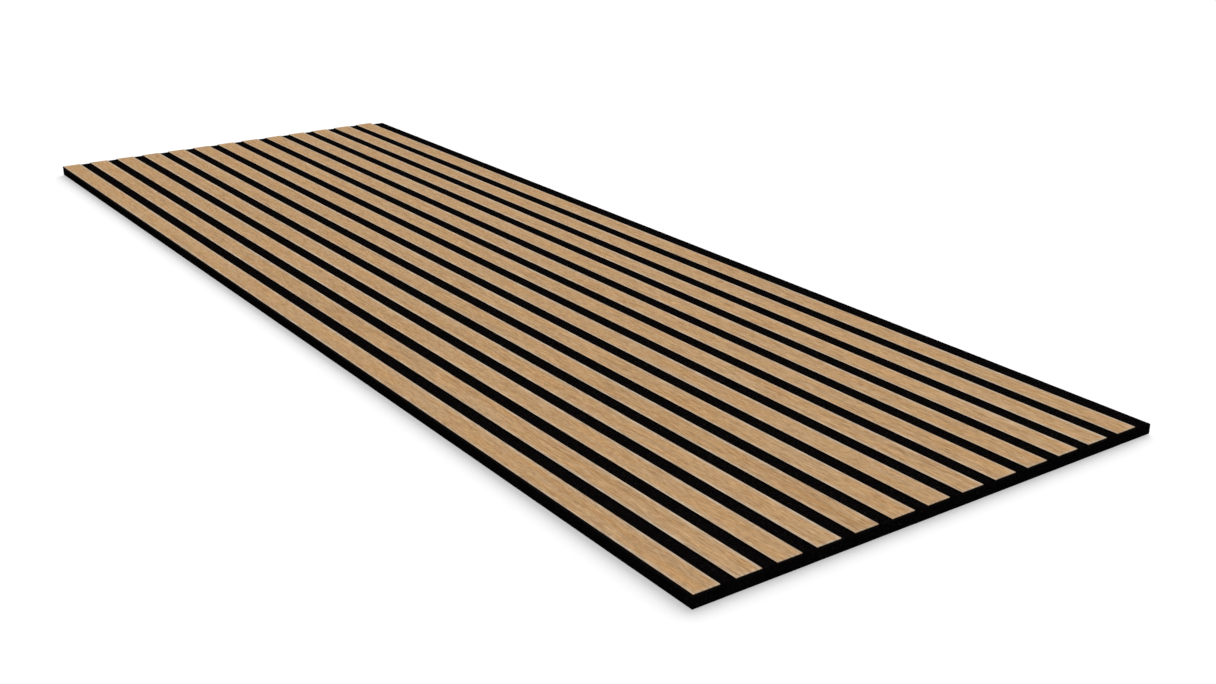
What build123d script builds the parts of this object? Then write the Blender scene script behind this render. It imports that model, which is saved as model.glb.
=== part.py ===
"""Slatted acoustic wall panel.

Thin slats run the whole length of a felt board.  Each slat is a black fibreboard core with a
wood veneer glued on its face.  The panel lies on its back, with the veneered faces up.

X runs across the slats, Y along them and Z out of the face, in millimetres.
The origin is the centre of the felt board's back face.
"""

import os

from build123d import *

# Slat row
slat_count = 13
slat_width = 30.0
slat_gap = 16.0  # bare felt between two neighbouring slats

# Felt board
panel_length = 1735.0
felt_thickness = 12.0
felt_lip = 26.0  # bare felt past the last slat, where the next panel butts on

# Slat build-up
core_thickness = 2.5
veneer_thickness = 0.5
veneer_arris = 0.3  # bevel sanded along the edges of the veneered face

# Places that follow from the sizes above
slat_pitch = slat_width + slat_gap
slat_row_width = slat_count * slat_pitch - slat_gap
panel_width = slat_row_width + felt_lip
first_slat_x = (slat_width - panel_width) / 2  # the first slat is flush with a long edge
core_seat_z = felt_thickness
veneer_seat_z = core_seat_z + core_thickness

os.makedirs("parts", exist_ok=True)

# Felt board: one sheet cut square on all four edges
with BuildPart() as felt_backing:
    with BuildSketch(Plane.XY):
        Rectangle(panel_width, panel_length)
    extrude(amount=felt_thickness)

felt_backing.part.label = "felt_backing"
export_step(felt_backing.part, "parts/felt_backing.step")

# Slats: every core sits flat on the felt and every veneer covers its core to the edges
for slat_number in range(1, slat_count + 1):
    slat_x = first_slat_x + (slat_number - 1) * slat_pitch

    with BuildPart() as core:
        with BuildSketch(Plane((slat_x, 0, core_seat_z))):
            Rectangle(slat_width, panel_length)
        extrude(amount=core_thickness)

    core.part.label = f"slat_core_{slat_number:02d}"
    export_step(core.part, f"parts/{core.part.label}.step")

    with BuildPart() as veneer:
        with BuildSketch(Plane((slat_x, 0, veneer_seat_z))):
            Rectangle(slat_width, panel_length)
        extrude(amount=veneer_thickness)
        show_face = veneer.faces().sort_by(Axis.Z)[-1]
        chamfer(show_face.edges(), length=veneer_arris)

    veneer.part.label = f"slat_veneer_{slat_number:02d}"
    export_step(veneer.part, f"parts/{veneer.part.label}.step")

panel_thickness = veneer_seat_z + veneer_thickness
print(f"panel {panel_width:.1f} x {panel_length:.1f} x {panel_thickness:.1f} mm")
print(f"{slat_count} slats, one every {slat_pitch:.1f} mm")
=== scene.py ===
# %% [markdown]
# # A slatted acoustic panel
#
# The object is a wall panel that lies on its back: a board of black needled felt with a row of thin
# slats glued on it. Each slat is a bar of black fibreboard with a leaf of oak on its face.
#
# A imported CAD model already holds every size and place. It is loaded as a fixed frame, and each cell
# below adds what the frame lacks: soft edges, fibres, grain and light.

# %% Load the frame
import math

import bpy
import numpy as np
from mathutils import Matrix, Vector


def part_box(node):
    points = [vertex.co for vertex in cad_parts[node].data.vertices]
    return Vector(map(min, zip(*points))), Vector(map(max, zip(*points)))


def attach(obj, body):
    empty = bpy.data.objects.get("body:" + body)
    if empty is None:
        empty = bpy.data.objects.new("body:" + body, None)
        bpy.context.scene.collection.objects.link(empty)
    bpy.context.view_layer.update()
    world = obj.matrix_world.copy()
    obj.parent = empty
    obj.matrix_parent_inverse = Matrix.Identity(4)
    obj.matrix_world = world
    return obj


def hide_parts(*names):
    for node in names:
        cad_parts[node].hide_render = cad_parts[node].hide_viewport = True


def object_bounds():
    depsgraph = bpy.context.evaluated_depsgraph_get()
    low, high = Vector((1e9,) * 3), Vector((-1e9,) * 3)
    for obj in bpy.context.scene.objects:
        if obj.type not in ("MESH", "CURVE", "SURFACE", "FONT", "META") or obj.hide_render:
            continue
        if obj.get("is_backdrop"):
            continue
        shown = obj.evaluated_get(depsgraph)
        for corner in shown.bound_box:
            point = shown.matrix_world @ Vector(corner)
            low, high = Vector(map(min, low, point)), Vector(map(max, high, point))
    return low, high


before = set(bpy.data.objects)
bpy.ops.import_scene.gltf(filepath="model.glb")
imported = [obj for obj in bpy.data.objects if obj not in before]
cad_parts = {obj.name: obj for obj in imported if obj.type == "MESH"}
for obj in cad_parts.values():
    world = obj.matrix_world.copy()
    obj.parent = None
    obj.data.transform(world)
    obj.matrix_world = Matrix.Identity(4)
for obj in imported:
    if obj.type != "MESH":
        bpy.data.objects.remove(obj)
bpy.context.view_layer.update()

MM = 0.001
FELT_NODE = "felt_backing"
CORE_NODES = sorted(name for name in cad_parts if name.startswith("slat_core_"))
VENEER_NODES = sorted(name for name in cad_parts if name.startswith("slat_veneer_"))

felt_low, felt_high = (np.array(corner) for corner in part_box(FELT_NODE))
veneer_boxes = [[np.array(corner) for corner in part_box(name)] for name in VENEER_NODES]

# %% [markdown]
# ## The camera
#
# The photograph looks along the panel from its near left corner. Where a camera stood can be worked
# out from straight edges: the slats meet in one vanishing point and the ends in another. That gave the
# place, the aim and the focal length below. The focal length is in pixels of the photograph, so it
# becomes a lens length once it is divided by the picture's width.

# %% Camera
PHOTO_WIDTH_PX = 1216
FOCAL_PX = 1493.9
camera_place = Vector((-0.9803, -1.7042, 0.6499))
camera_aim = Vector((-0.0261, -0.3538, 0.0150))

camera_data = bpy.data.cameras.new("camera")
camera_data.lens = camera_data.sensor_width * FOCAL_PX / PHOTO_WIDTH_PX
camera = bpy.data.objects.new("camera", camera_data)
camera.location = camera_place
camera.rotation_euler = (camera_aim - camera_place).to_track_quat("-Z", "Y").to_euler()
bpy.context.scene.collection.objects.link(camera)
bpy.context.scene.camera = camera
print(f"lens {camera_data.lens:.1f} mm, {(camera_aim - camera_place).length:.2f} m from its aim")

# %% [markdown]
# ## Small tools for shader nodes
#
# Every finish below is a tree of shader nodes. A few short functions keep those trees readable: they add
# a node and fill its sockets, do arithmetic, stretch a range, mix two colours and start a material. A
# socket is given either a constant or another node's output, and an output is linked.


# %% Node tools
def fill(tree, socket, value):
    """Give a socket a constant, or link another node's output to it."""
    if isinstance(value, bpy.types.NodeSocket):
        tree.links.new(value, socket)
    else:
        socket.default_value = value


def add_node(tree, kind, inputs=None, **settings):
    """Add a node, set its own properties, and fill the sockets named in inputs."""
    made = tree.nodes.new(kind)
    for name, value in settings.items():
        setattr(made, name, value)
    for key, value in (inputs or {}).items():
        fill(tree, made.inputs[key], value)
    return made


def calc(tree, operation, *values):
    """One arithmetic step on numbers or outputs."""
    made = add_node(tree, "ShaderNodeMath", operation=operation)
    for socket, value in zip(made.inputs, values):
        fill(tree, socket, value)
    return made.outputs[0]


def remap(tree, value, low, high, to_low=0.0, to_high=1.0, smooth=False):
    """Stretch the range low..high of a value to to_low..to_high, and hold it there outside."""
    inputs = {"Value": value, "From Min": low, "From Max": high, "To Min": to_low, "To Max": to_high}
    kind = "SMOOTHSTEP" if smooth else "LINEAR"
    return add_node(tree, "ShaderNodeMapRange", inputs, interpolation_type=kind).outputs[0]


def blend_colours(tree, share, first, second, how="MIX"):
    """Mix two colours by a share from 0, the first one, to 1."""
    made = add_node(tree, "ShaderNodeMix", data_type="RGBA", blend_type=how)
    fill(tree, made.inputs[0], share)
    fill(tree, made.inputs[6], first)
    fill(tree, made.inputs[7], second)
    return made.outputs[2]


def new_material(name, **constants):
    """A material with one Principled shader, whose named sockets get constants straight away."""
    made = bpy.data.materials.new(name)
    made.use_nodes = True
    shader = made.node_tree.nodes["Principled BSDF"]
    for socket, value in constants.items():
        shader.inputs[socket.replace("_", " ")].default_value = value
    return made, made.node_tree, shader


# %% [markdown]
# ## Light and floor
#
# The photograph has a plain white ground, a soft light from the far right, and a narrow shadow along
# the two near edges. A sun lamp with a wide disc gives that shadow, and an even white sky fills it.
# The sky's and the sun's shares add up to one on a face that looks straight up, so a colour there
# renders about as it is written.
#
# A diffuse white floor alone would come out grey, so for the camera's own rays it also glows a little.
# Where it is lit the sum passes white, and in the shadow it stays below, so the shadow is kept.

# %% Sun, sky and floor finish
SKY_SHARE = 0.55
SUN_SHARE = 0.45
SUN_DISC = math.radians(64)
FLOOR_TONE = 0.70
FLOOR_GLOW = 0.37
sun_from = Vector((0.60, 0.48, 0.53)).normalized()

sun_data = bpy.data.lights.new("sun", "SUN")
sun_data.energy = SUN_SHARE * math.pi / sun_from.z
sun_data.angle = SUN_DISC
sun = bpy.data.objects.new("sun", sun_data)
sun.rotation_euler = (-sun_from).to_track_quat("-Z", "Y").to_euler()
bpy.context.scene.collection.objects.link(sun)


def seen_directly(tree):
    """1 for rays from the camera, a mirror or glass, and 0 for the rays that carry light."""
    path = tree.nodes.new("ShaderNodeLightPath").outputs
    seen = calc(tree, "MAXIMUM", path["Is Camera Ray"], path["Is Glossy Ray"])
    return calc(tree, "MAXIMUM", seen, path["Is Transmission Ray"])


sky = bpy.data.worlds.new("sky")
sky.use_nodes = True
background = sky.node_tree.nodes["Background"]
background.inputs["Color"].default_value = (1, 1, 1, 1)
sky_level = remap(sky.node_tree, seen_directly(sky.node_tree), 0, 1, SKY_SHARE, 1)
sky.node_tree.links.new(sky_level, background.inputs["Strength"])
bpy.context.scene.world = sky

floor_finish = bpy.data.materials.new("white_floor")
floor_finish.use_nodes = True
tree = floor_finish.node_tree
tree.nodes.remove(tree.nodes["Principled BSDF"])
matt = add_node(tree, "ShaderNodeBsdfDiffuse", {"Color": (FLOOR_TONE, FLOOR_TONE, FLOOR_TONE, 1)})
glow_level = calc(tree, "MULTIPLY", seen_directly(tree), FLOOR_GLOW)
glow = add_node(tree, "ShaderNodeEmission", {"Strength": glow_level})
both = add_node(tree, "ShaderNodeAddShader", {0: matt.outputs[0], 1: glow.outputs[0]})
tree.links.new(both.outputs[0], tree.nodes["Material Output"].inputs["Surface"])

view = bpy.context.scene.view_settings
view.view_transform = "Standard"
print(f"sun {sun_data.energy:.2f}, sky {SKY_SHARE}, floor white {FLOOR_TONE + FLOOR_GLOW:.2f}")

# %% [markdown]
# ## The floor
#
# The floor is one large quad just under the panel. Blender's own plane would do as well, but the pieces
# below need a function that turns arrays of points and quads into a mesh, and the floor can use it too. The
# floor is marked as stage, because it isn't part of the object.

# %% Floor
FLOOR_HALF = 12.0
FLOOR_Z = -0.3 * MM


def build_mesh(name, points, quads, sharp_degrees=40):
    """A mesh object at the origin from arrays of points and quads, smooth but for its sharp edges."""
    mesh = bpy.data.meshes.new(name)
    mesh.vertices.add(len(points))
    mesh.vertices.foreach_set("co", points.astype(np.float32).ravel())
    mesh.loops.add(quads.size)
    mesh.loops.foreach_set("vertex_index", quads.astype(np.int32).ravel())
    mesh.polygons.add(len(quads))
    mesh.polygons.foreach_set("loop_start", np.arange(0, quads.size, 4, dtype=np.int32))
    mesh.update(calc_edges=True)
    mesh.shade_smooth()
    mesh.set_sharp_from_angle(angle=math.radians(sharp_degrees))
    made = bpy.data.objects.new(name, mesh)
    bpy.context.scene.collection.objects.link(made)
    return made


floor_points = np.array([[-1, -1], [1, -1], [1, 1], [-1, 1]]) * FLOOR_HALF
floor_points = np.column_stack([floor_points, np.full(4, FLOOR_Z)])
floor = build_mesh("floor", floor_points, np.array([[0, 1, 2, 3]]))
floor.data.materials.append(floor_finish)
floor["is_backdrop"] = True
print(f"floor {2 * FLOOR_HALF:.0f} m square")

# %% [markdown]
# ## Patterns that more than one finish uses
#
# Two effects come back in several finishes, so each is a node group with named sockets. **Streaks** is
# noise pulled long in one direction, the base of wood grain and of saw marks. **Tangle** draws thin
# curved lines where a noise crosses its middle value, which looks like loose fibres.


# %% Pattern groups
LAYER_SHIFT = (0.37, 0.61, 0.53)


def new_group(name, inputs, outputs):
    """An empty shader node group with float or vector sockets, and its input and output nodes."""
    group = bpy.data.node_groups.new(name, "ShaderNodeTree")
    for label, kind in inputs.items():
        group.interface.new_socket(label, in_out="INPUT", socket_type=kind)
    for label in outputs:
        group.interface.new_socket(label, in_out="OUTPUT", socket_type="NodeSocketFloat")
    entry = group.nodes.new("NodeGroupInput").outputs
    leave = group.nodes.new("NodeGroupOutput").inputs
    return group, entry, leave


def use_group(tree, group, **inputs):
    """Place a group in a tree with its own values, and return its outputs."""
    made = add_node(tree, "ShaderNodeGroup", node_tree=group)
    for label, value in inputs.items():
        fill(tree, made.inputs[label], value)
    return made.outputs


def make_streaks():
    """Noise stretched along Y: Across and Along are how many changes it has in a metre."""
    sockets = {"Place": "NodeSocketVector", "Across": "NodeSocketFloat", "Along": "NodeSocketFloat"}
    group, entry, leave = new_group("Streaks", sockets, ["Streak"])
    stretch = add_node(group, "ShaderNodeCombineXYZ", {0: entry["Across"], 1: entry["Along"], 2: 1.0})
    place = add_node(group, "ShaderNodeVectorMath", operation="MULTIPLY")
    fill(group, place.inputs[0], entry["Place"])
    fill(group, place.inputs[1], stretch.outputs[0])
    noise = add_node(group, "ShaderNodeTexNoise",
                     {"Vector": place.outputs[0], "Scale": 1.0, "Detail": 3.0, "Roughness": 0.55})
    fill(group, leave["Streak"], noise.outputs[0])
    return group


def make_tangle():
    """Fibres: lines where noise is near its middle, from three noises, the strongest one at each place."""
    sockets = {"Place": "NodeSocketVector", "Loops": "NodeSocketFloat", "Width": "NodeSocketFloat"}
    group, entry, leave = new_group("Tangle", sockets, ["Fibre"])
    strongest = 0.0
    for layer in range(3):
        shift = add_node(group, "ShaderNodeVectorMath", operation="ADD")
        fill(group, shift.inputs[0], entry["Place"])
        shift.inputs[1].default_value = [layer * step for step in LAYER_SHIFT]
        noise = add_node(group, "ShaderNodeTexNoise",
                         {"Vector": shift.outputs[0], "Scale": entry["Loops"], "Detail": 1.0})
        away = calc(group, "ABSOLUTE", calc(group, "SUBTRACT", noise.outputs[0], 0.5))
        line = remap(group, away, 0.0, entry["Width"], 1.0, 0.0, smooth=True)
        strongest = calc(group, "MAXIMUM", strongest, line)
    fill(group, leave["Fibre"], strongest)
    return group


streaks = make_streaks()
tangle = make_tangle()
print("pattern groups:", streaks.name, tangle.name)

# %% [markdown]
# ## Black felt
#
# The board is polyester fibre, needled and pressed to a stiff black sheet. Close up it is a tangle of
# fibres, a few of them paler, and it throws almost no highlight. Roughness is near one and the
# specular level is zero, so the gaps between the slats stay dark from every side.


# %% Felt finish
FELT_DARK = (0.0006, 0.0005, 0.0005, 1)
FELT_CLOUD = (0.0012, 0.0010, 0.0010, 1)
FELT_FINE = (0.0021, 0.0017, 0.0017, 1)
FELT_COARSE = (0.0040, 0.0033, 0.0033, 1)
FELT_STRAY = (0.024, 0.019, 0.019, 1)


def make_felt_finish():
    """Near-black fibres in two sizes over a darker ground, thin paler strays, and their height as bump."""
    finish, tree, shader = new_material("black_felt", Roughness=0.95, Specular_IOR_Level=0.0)
    place = tree.nodes.new("ShaderNodeTexCoord").outputs["Object"]
    coarse = use_group(tree, tangle, Place=place, Loops=330.0, Width=0.030)["Fibre"]
    fine = use_group(tree, tangle, Place=place, Loops=900.0, Width=0.045)["Fibre"]
    stray = use_group(tree, tangle, Place=place, Loops=210.0, Width=0.0045)["Fibre"]
    cloud = add_node(tree, "ShaderNodeTexNoise", {"Vector": place, "Scale": 45.0, "Detail": 3.0})
    height = calc(tree, "ADD", coarse, calc(tree, "MULTIPLY", fine, 0.6))
    ground = blend_colours(tree, cloud.outputs[0], FELT_DARK, FELT_CLOUD)
    lit = blend_colours(tree, fine, ground, FELT_FINE)
    felted = blend_colours(tree, calc(tree, "MULTIPLY", coarse, 0.8), lit, FELT_COARSE)
    colour = blend_colours(tree, stray, felted, FELT_STRAY)
    bump = add_node(tree, "ShaderNodeBump", {"Height": height, "Strength": 0.6, "Distance": 0.25 * MM})
    fill(tree, shader.inputs["Base Color"], colour)
    fill(tree, shader.inputs["Normal"], bump.outputs[0])
    return finish


felt_finish = make_felt_finish()
print("finish:", felt_finish.name)

# %% [markdown]
# ## One surface for every board
#
# The felt and each oak leaf are boards with six sides and soft edges. A bevel modifier could round a
# box, but a height for each place on a grid says more: it can round the edges, roughen the face and
# still close. Two height fields, one for each face, stand on the same grid, and a band of quads joins
# their rims.


# %% Board surface
def closed_board(across, along, top, bottom, wall_steps=1):
    """Points and quads of a closed board.

    across and along are the grid's columns and rows. top and bottom are arrays with a height for each
    row and column. The rim of the top is joined to the rim of the bottom by straight lines in
    wall_steps equal steps.
    """
    rows, columns = top.shape
    count = rows * columns
    x, y = np.meshgrid(across, along)
    upper = np.stack([x, y, top], axis=-1).reshape(-1, 3)
    lower = np.stack([x, y, bottom], axis=-1).reshape(-1, 3)

    grid = np.arange(count).reshape(rows, columns)
    rim = np.concatenate([grid[0, :-1], grid[:-1, -1], grid[-1, :0:-1], grid[:0:-1, 0]])
    share = np.linspace(0, 1, wall_steps + 1)[1:-1, None, None]
    wall = (upper[rim] * (1 - share) + lower[rim] * share).reshape(-1, 3)
    points = np.concatenate([upper, lower, wall])

    between = 2 * count + np.arange(len(wall)).reshape(-1, len(rim))
    rings = np.concatenate([rim[None], between, count + rim[None]])
    after = np.roll(rings, -1, axis=1)
    cells = np.stack([grid[:-1, :-1], grid[:-1, 1:], grid[1:, 1:], grid[1:, :-1]], axis=-1)
    sides = np.stack([rings[:-1], rings[1:], after[1:], after[:-1]], axis=-1)
    quads = np.concatenate([
        cells.reshape(-1, 4),
        count + cells[..., ::-1].reshape(-1, 4),
        sides.reshape(-1, 4),
    ])
    return points, quads


def edge_distance(place, low, high):
    """How far places lie inside the nearer of two edges."""
    return np.minimum(place - low, high - place)


def edge_drop(distance, radius):
    """How much lower a rounded edge lies than the face: a quarter circle of the given radius."""
    inside = np.clip(radius - distance, 0, radius)
    return radius - np.sqrt(radius**2 - inside**2)


def eased_stations(low, high, radius, step, bands=()):
    """Places from low to high: four round each edge's quarter circle, and even steps in between.

    Each of bands is a distance from the edge, wider than the radius, that gets a place of its own.
    """
    quarter = radius * (1 - np.cos(np.linspace(0, math.pi / 2, 4)))
    quarter = np.append(quarter, bands)
    inset = quarter[-1]
    count = max(2, round((high - low - 2 * inset) / step))
    middle = np.linspace(low + inset, high - inset, count + 1)[1:-1]
    return np.concatenate([low + quarter, middle, high - quarter[::-1]])


# %% [markdown]
# ## The felt board
#
# A knife cuts the felt, so its edges are straight but soft. The bare strips between the slats and along
# the lip are slightly uneven, and under the slats the glue holds the face flat. The unevenness is smooth
# random noise that only ever goes inwards.
#
# In the photograph the far end of the panel is nearly one straight line, with no deep notches between the
# slats. Felt that swells up where the slats are pressed on would look so, and that is how it is made here.
# It stays below the slats' faces, so the panel keeps its packed size.

# %% Felt board
FELT_EDGE = 0.7 * MM
FELT_RELIEF = 0.30 * MM
FELT_SWELL = 2.2 * MM
FELT_SHOULDER = 0.8 * MM
FELT_LUMP = 9 * MM
FELT_WAVE = 26 * MM
BACK_LUMP = 14 * MM
BARE_STEP = 2.5 * MM
COVERED_STEP = 8.0 * MM
FELT_ROW_STEP = 7.0 * MM
FELT_WALL_STEPS = 4
RANDOM_SEED = 13
rng = np.random.default_rng(RANDOM_SEED)


def soft_noise(x, y, cell):
    """Random heights from 0 to 1: random values on a lattice, blended by 3t^2 - 2t^3 in between."""
    u = (x - x.min()) / cell
    v = (y - y.min()) / cell
    column = np.floor(u).astype(int)
    row = np.floor(v).astype(int)
    lattice = rng.random((row.max() + 2, column.max() + 2))
    s = (u - column)**2 * (3 - 2 * (u - column))
    t = (v - row)**2 * (3 - 2 * (v - row))
    near = lattice[row, column] * (1 - s) + lattice[row, column + 1] * s
    far = lattice[row + 1, column] * (1 - s) + lattice[row + 1, column + 1] * s
    return near * (1 - t) + far * t


def felt_columns():
    """Grid columns: wide apart under the slats, and close together with a shoulder where felt is bare."""
    runs = [eased_stations(felt_low[0], felt_high[0], FELT_EDGE, felt_high[0] - felt_low[0])]
    bare_from = [high[0] for _, high in veneer_boxes]
    bare_to = [low[0] for low, _ in veneer_boxes[1:]] + [felt_high[0]]
    for (low, high), start, end in zip(veneer_boxes, bare_from, bare_to):
        runs.append(np.linspace(low[0], high[0], round((high[0] - low[0]) / COVERED_STEP) + 1))
        steps = round((end - start - 2 * FELT_SHOULDER) / BARE_STEP)
        runs.append(np.linspace(start + FELT_SHOULDER, end - FELT_SHOULDER, steps + 1))
    return np.unique(np.concatenate(runs).round(6))  # to a micrometre, so that a shared place counts once


def bareness(across):
    """1 where a column is clear of every slat, and 0 under one, with a short ramp at its shoulder."""
    clear = np.full(len(across), np.inf)
    for low, high in veneer_boxes:
        clear = np.minimum(clear, -edge_distance(across, low[0], high[0]))
    return np.clip(clear / FELT_SHOULDER, 0, 1)


across = felt_columns()
along = eased_stations(felt_low[1], felt_high[1], FELT_EDGE, FELT_ROW_STEP)
x, y = np.meshgrid(across, along)
rounding = (edge_drop(edge_distance(x, felt_low[0], felt_high[0]), FELT_EDGE)
            + edge_drop(edge_distance(y, felt_low[1], felt_high[1]), FELT_EDGE))
unevenness = 0.6 * soft_noise(x, y, FELT_LUMP) + 0.4 * soft_noise(x, y, FELT_WAVE)
between_slats = across < veneer_boxes[-1][0][0]
swell = FELT_SWELL * between_slats - FELT_RELIEF * unevenness
felt_top = felt_high[2] - rounding + bareness(across) * swell
felt_bottom = felt_low[2] + rounding + 0.5 * FELT_RELIEF * soft_noise(x, y, BACK_LUMP)
felt_board = build_mesh("felt_board", *closed_board(across, along, felt_top, felt_bottom, FELT_WALL_STEPS))
felt_board.data.materials.append(felt_finish)
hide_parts(FELT_NODE)
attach(felt_board, "root")
print(f"felt board: {len(felt_board.data.polygons)} quads")

# %% [markdown]
# ## Black fibreboard
#
# Each slat's core is fibreboard dyed black right through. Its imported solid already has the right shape, a
# straight sawn bar, so only its finish is new: a flat black with fine flecks of fibre and faint saw marks
# along the cut sides.


# %% Fibreboard finish
BOARD_DARK = (0.0020, 0.0018, 0.0017, 1)
BOARD_SAWN = (0.0044, 0.0038, 0.0036, 1)
BOARD_FLECK = (0.0085, 0.0075, 0.0072, 1)


def make_fibreboard_finish():
    """Near-black ground, a little paler along long saw marks, with small paler flecks of fibre."""
    finish, tree, shader = new_material("black_fibreboard", Roughness=0.8, Specular_IOR_Level=0.005)
    place = tree.nodes.new("ShaderNodeTexCoord").outputs["Object"]
    fleck = use_group(tree, tangle, Place=place, Loops=1400.0, Width=0.05)["Fibre"]
    saw = use_group(tree, streaks, Place=place, Across=1500.0, Along=30.0)["Streak"]
    sawn = blend_colours(tree, saw, BOARD_DARK, BOARD_SAWN)
    colour = blend_colours(tree, calc(tree, "MULTIPLY", fleck, 0.8), sawn, BOARD_FLECK)
    fill(tree, shader.inputs["Base Color"], colour)
    return finish


fibreboard_finish = make_fibreboard_finish()
for name in CORE_NODES:
    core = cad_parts[name]
    core.data.materials.clear()
    core.data.materials.append(fibreboard_finish)
print(f"{len(CORE_NODES)} cores in {fibreboard_finish.name}")

# %% [markdown]
# ## Oak veneer
#
# The face is straight-grained oak under matt lacquer. Up close oak has bands a few millimetres wide,
# finer rings inside them, and open pores: short dark dashes along the grain. All of them are streaks,
# only of different width and length. Each slat carries its own place in the tree as an attribute, so no
# two slats repeat. A paler rim is painted along the edges of the leaf, a painted highlight on its rounded
# edge, stronger in some stretches than in others. The slat's sides are painted black before it is cut to
# length, so the paint takes in the leaf's long edges and just turns the corner, while its ends stay bare.


# %% Oak finish
OAK_DARK = (0.318, 0.171, 0.068, 1)
OAK_PALE = (0.677, 0.441, 0.235, 1)
WARM_TINT = (1.04, 0.985, 0.89, 1)
COOL_TINT = (0.96, 1.015, 1.11, 1)
PORE_BROWN = (0.255, 0.140, 0.060, 1)
# The painted highlight along the leaf's edges: a paler colour added to the oak's own colour.
HIGHLIGHT_PALE = (0.045, 0.125, 0.165, 1)  # added to the oak's own colour
EDGE_BLACK = (0.0032, 0.0028, 0.0027, 1)
GRAIN_BEND = 14 * MM


def weighted_sum(tree, parts):
    """Add up outputs, each times its own weight."""
    total = 0.0
    for output, weight in parts:
        total = calc(tree, "ADD", total, calc(tree, "MULTIPLY", output, weight))
    return total


def make_oak_finish():
    """Bands, rings and fibres set the tone; hue, pores, edge paint and a painted highlight change it."""
    finish, tree, shader = new_material("oak_veneer", Specular_IOR_Level=0.005)
    place = add_node(tree, "ShaderNodeAttribute", attribute_name="leaf_place").outputs["Vector"]
    # arris holds where the painted highlight lies along the leaf's edges.
    arris = add_node(tree, "ShaderNodeAttribute", attribute_name="arris").outputs["Fac"]
    paint = add_node(tree, "ShaderNodeAttribute", attribute_name="edge_paint").outputs["Fac"]
    wander = add_node(tree, "ShaderNodeTexNoise", {"Vector": place, "Scale": 5.0, "Detail": 2.0})
    bend = calc(tree, "MULTIPLY", calc(tree, "SUBTRACT", wander.outputs[0], 0.5), GRAIN_BEND)
    offset = add_node(tree, "ShaderNodeCombineXYZ", {0: bend})
    bent = add_node(tree, "ShaderNodeVectorMath", operation="ADD")
    fill(tree, bent.inputs[0], place)
    fill(tree, bent.inputs[1], offset.outputs[0])
    grain = bent.outputs[0]

    band = use_group(tree, streaks, Place=grain, Across=140.0, Along=0.7)["Streak"]
    ring = use_group(tree, streaks, Place=grain, Across=480.0, Along=4.0)["Streak"]
    fibre = use_group(tree, streaks, Place=grain, Across=1000.0, Along=45.0)["Streak"]
    hair = use_group(tree, streaks, Place=grain, Across=2000.0, Along=120.0)["Streak"]
    pore_noise = use_group(tree, streaks, Place=grain, Across=4200.0, Along=130.0)["Streak"]
    hue = use_group(tree, streaks, Place=grain, Across=330.0, Along=9.0)["Streak"]

    mixed = weighted_sum(tree, ((band, 0.08), (ring, 0.18), (fibre, 0.36), (hair, 0.38)))
    tone = remap(tree, mixed, 0.40, 0.60)
    wood = blend_colours(tree, tone, OAK_DARK, OAK_PALE)
    tint = blend_colours(tree, remap(tree, hue, 0.36, 0.64), WARM_TINT, COOL_TINT)
    wood = blend_colours(tree, 1.0, wood, tint, how="MULTIPLY")
    early = remap(tree, ring, 0.42, 0.60)
    pore = calc(tree, "MULTIPLY", remap(tree, pore_noise, 0.55, 0.61, smooth=True), early)
    porous = blend_colours(tree, calc(tree, "MULTIPLY", pore, 0.75), wood, PORE_BROWN)
    # Painted highlight: the rim of the leaf is made paler, stronger in some stretches than in others.
    highlight_strength = remap(tree, wander.outputs[0], 0.36, 0.64, 0.6, 1.2)
    highlight_rim = calc(tree, "MULTIPLY", arris, remap(tree, fibre, 0.38, 0.62, 0.5, 1.0))
    highlight_share = calc(tree, "MULTIPLY", highlight_rim, highlight_strength)
    highlighted = blend_colours(tree, highlight_share, porous, HIGHLIGHT_PALE, how="ADD")
    colour = blend_colours(tree, paint, highlighted, EDGE_BLACK)

    height = calc(tree, "SUBTRACT", calc(tree, "MULTIPLY", fibre, 0.4), pore)
    bump = add_node(tree, "ShaderNodeBump", {"Height": height, "Strength": 0.35, "Distance": 0.12 * MM})
    rough = remap(tree, pore, 0, 1, 0.60, 0.85)
    fill(tree, shader.inputs["Base Color"], colour)
    fill(tree, shader.inputs["Roughness"], rough)
    fill(tree, shader.inputs["Normal"], bump.outputs[0])
    return finish


oak_finish = make_oak_finish()
print("finish:", oak_finish.name)

# %% [markdown]
# ## The oak leaves
#
# A leaf is a board half a millimetre thick that covers its core to the edges. Sandpaper takes the sharp
# corner off its face, so the rim is a small quarter circle on all four sides. A paler band, a painted
# highlight, lies along that rim, half as wide at the two ends as along the sides.
#
# When a model leaves Blender its finish becomes a picture, and a strip 58 times as long as it is wide
# fills a square picture badly. So each leaf carries a flat map that cuts its face into rows and stacks
# them, which keeps the grain sharp both ways.

# %% Oak leaves
LEAF_ARRIS = 0.35 * MM
PAINT_REACH = 0.55 * MM
PALE_RIM = 1.8 * MM
PALE_BAND = 4.8 * MM
END_NARROWING = 2.0
THINNEST_RIM = 0.1 * MM
LEAF_COLUMN_STEP = 2.5 * MM
LEAF_ROW_STEP = 25.0 * MM
MAP_ROWS = 4
MAP_MARGIN = 0.004
FACE_SHARE = 0.88
ROW_SPAN = (0.02, 0.98)
BACK_STRIP = (0.89, 0.93)
WALL_STRIP = (0.945, 0.985)
TREE_REACH = 20.0


def set_point_values(piece, name, kind, values):
    """Store one number or vector for each point of a piece, for its finish to read."""
    field = "vector" if kind == "FLOAT_VECTOR" else "value"
    attribute = piece.data.attributes.new(name, kind, "POINT")
    attribute.data.foreach_set(field, values.astype(np.float32).ravel())


def within(share, low, high):
    """Where a share from 0 to 1 lies between low and high, once a small margin is kept at both."""
    return low + (MAP_MARGIN + (1 - 2 * MAP_MARGIN) * share) * (high - low)


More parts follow.
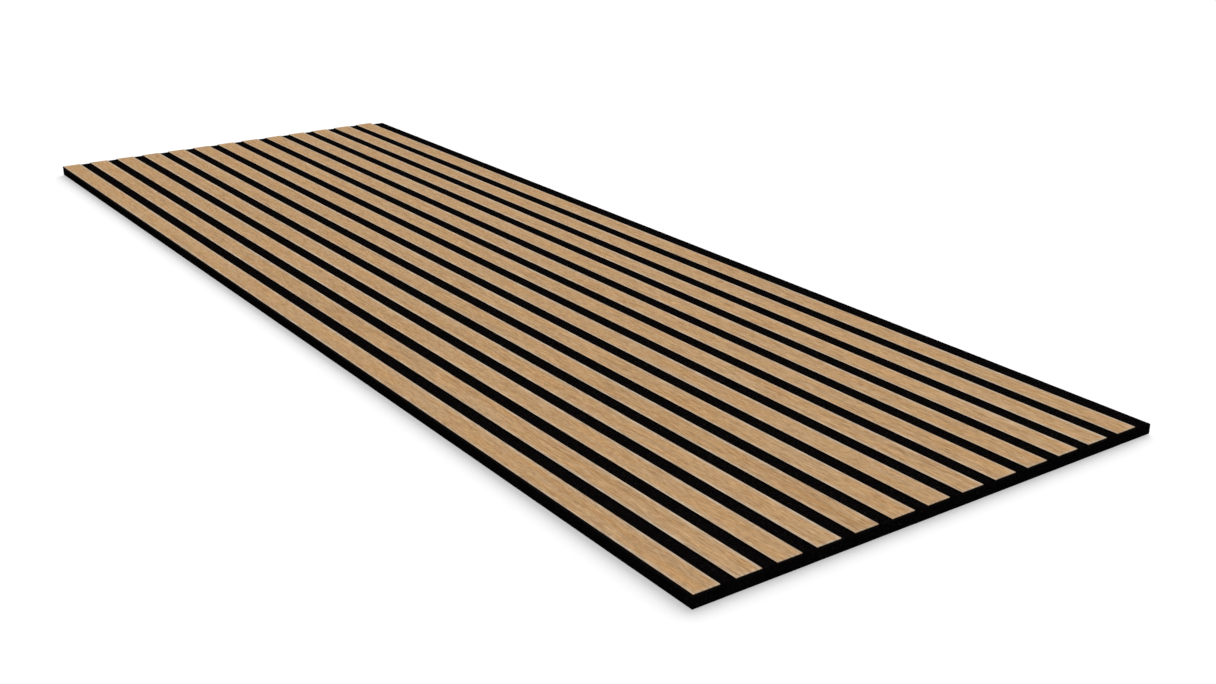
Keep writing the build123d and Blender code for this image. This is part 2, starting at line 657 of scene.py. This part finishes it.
def fold_map(piece, points, quads, rows, columns):
    """A flat map of a long leaf on a square: the face cut into rows, then its back, then its walls.

    On the face, u is the share of the way along the row's own piece of the leaf, and v the share of the
    way across, stacked row on row. The back is one strip, and so are the walls, with equal room for
    each of their quads.
    """
    low, high = points.min(axis=0), points.max(axis=0)
    share = (points[quads] - low) / (high - low)
    cells = (rows - 1) * (columns - 1)
    walls = len(quads) - 2 * cells
    u, v = np.empty(quads.shape), np.empty(quads.shape)

    row = np.repeat(np.arange(rows - 1), columns - 1) * MAP_ROWS // (rows - 1)
    first = np.array([share[:cells][row == number, :, 1].min() for number in range(MAP_ROWS)])
    last = np.append(first[1:], 1.0)
    row = row[:, None]
    u[:cells] = within((share[:cells, :, 1] - first[row]) / (last - first)[row], 0, 1)
    v[:cells] = (row + within(share[:cells, :, 0], *ROW_SPAN)) * FACE_SHARE / MAP_ROWS

    u[cells:2 * cells] = within(share[cells:2 * cells, :, 1], 0, 1)
    v[cells:2 * cells] = within(share[cells:2 * cells, :, 0], *BACK_STRIP)
    u[2 * cells:] = within((np.arange(walls)[:, None] + [0, 0, 1, 1]) / walls, 0, 1)
    v[2 * cells:] = within(np.array([0, 1, 1, 0]), *WALL_STRIP)
    flat = piece.data.uv_layers.new(name="OFBake")
    flat.data.foreach_set("uv", np.stack([u, v], axis=-1).astype(np.float32).ravel())


def make_leaf(name, low, high):
    """An oak leaf between two corners, with a sanded arris and its own place in the tree."""
    bands = (PAINT_REACH, PALE_RIM, PALE_BAND)
    across = eased_stations(low[0], high[0], LEAF_ARRIS, LEAF_COLUMN_STEP, bands)
    along = eased_stations(low[1], high[1], LEAF_ARRIS, LEAF_ROW_STEP, bands)
    x, y = np.meshgrid(across, along)
    top = high[2] - edge_drop(edge_distance(x, low[0], high[0]), LEAF_ARRIS)
    top = top - edge_drop(edge_distance(y, low[1], high[1]), LEAF_ARRIS)
    top = np.maximum(top, low[2] + THINNEST_RIM)
    points, quads = closed_board(across, along, top, np.full_like(top, low[2]))
    leaf = build_mesh(name, points, quads)
    fold_map(leaf, points, quads, len(along), len(across))

    from_side = edge_distance(points[:, 0], low[0], high[0])
    from_end = edge_distance(points[:, 1], low[1], high[1])
    from_edge = np.minimum(from_side, END_NARROWING * from_end)
    set_point_values(leaf, "edge_paint", "FLOAT", np.interp(from_side, (LEAF_ARRIS, PAINT_REACH), (1, 0)))
    # Where the painted highlight lies: full near the rim, fading inwards, narrower at the ends.
    set_point_values(leaf, "arris", "FLOAT", np.interp(from_edge, (PALE_RIM, PALE_BAND), (1, 0)))
    cut_from = rng.uniform(-TREE_REACH, TREE_REACH, 3)
    set_point_values(leaf, "leaf_place", "FLOAT_VECTOR", points + cut_from)
    leaf.data.materials.append(oak_finish)
    return leaf


for number, (node, (low, high)) in enumerate(zip(VENEER_NODES, veneer_boxes), start=1):
    leaf = make_leaf(f"oak_leaf_{number:02d}", low, high)
    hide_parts(node)
    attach(leaf, "root")
print(f"{len(VENEER_NODES)} oak leaves, {len(leaf.data.polygons)} quads each")

# %% [markdown]
# ## The visual box
#
# The finish changes no size, and the visual model's box is printed to show it.

# %% Sizes and finish
low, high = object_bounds()
print("visual box", (high - low) / MM, "mm")
